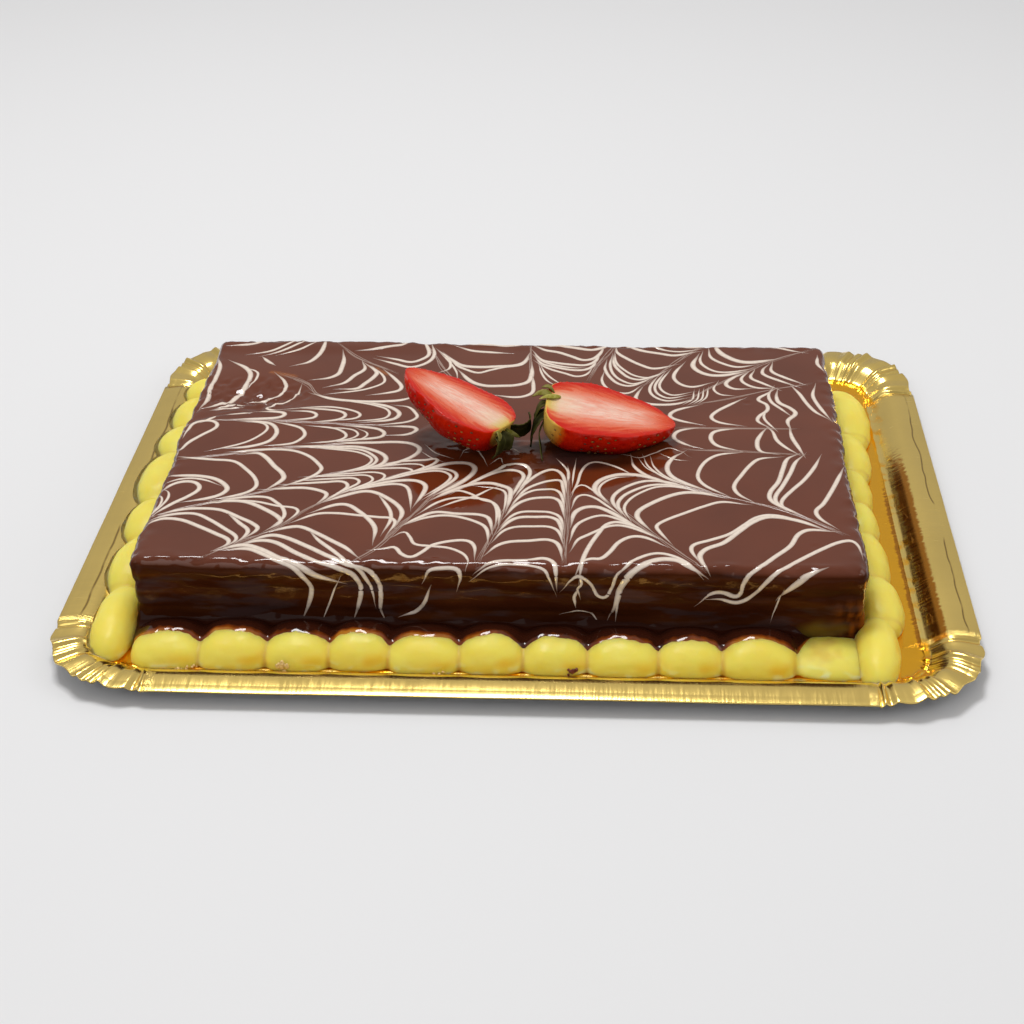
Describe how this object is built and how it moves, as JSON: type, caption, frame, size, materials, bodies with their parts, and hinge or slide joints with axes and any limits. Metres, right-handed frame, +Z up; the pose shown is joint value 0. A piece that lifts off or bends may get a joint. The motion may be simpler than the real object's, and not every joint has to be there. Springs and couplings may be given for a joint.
{
  "type": "chocolate biscuit layer cake on tray",
  "caption": "Flat rectangular biscuit layer cake under dark glossy glaze with a feathered web pattern, piped custard border, halved strawberries on top, on a gold card tray.",
  "frame": {"origin": "middle of the tray's flat underside, at the bottom of the bounding box", "axes": "+X along the tray's long side, +Y across it towards the far side, +Z up"},
  "size_m": [0.28, 0.22, 0.0492],
  "materials": {
    "gold_card": "gold foil, glossy",
    "chocolate_glaze": "wet gloss",
    "custard": "smooth satin",
    "strawberry": "moist gloss",
    "leaf": "matt"
  },
  "bodies": {
    "root": {"tray": "gold_card", "cake": "chocolate_glaze", "custard_front_1": "custard", "custard_front_2": "custard", "custard_front_3": "custard", "custard_front_4": "custard", "custard_front_5": "custard", "custard_front_6": "custard", "custard_front_7": "custard", "custard_front_8": "custard", "custard_front_9": "custard", "custard_front_10": "custard", "custard_front_11": "custard", "custard_right_1": "custard", "custard_right_2": "custard", "custard_right_3": "custard", "custard_right_4": "custard", "custard_right_5": "custard", "custard_right_6": "custard", "custard_right_7": "custard", "custard_back_1": "custard", "custard_back_2": "custard", "custard_back_3": "custard", "custard_back_4": "custard", "custard_back_5": "custard", "custard_back_6": "custard", "custard_back_7": "custard", "custard_back_8": "custard", "custard_back_9": "custard", "custard_back_10": "custard", "custard_back_11": "custard", "custard_left_1": "custard", "custard_left_2": "custard", "custard_left_3": "custard", "custard_left_4": "custard", "custard_left_5": "custard", "custard_left_6": "custard", "custard_left_7": "custard", "strawberry_left": "strawberry", "leaves_left": "leaf", "strawberry_right": "strawberry", "leaves_right": "leaf"}
  },
  "joints": []
}
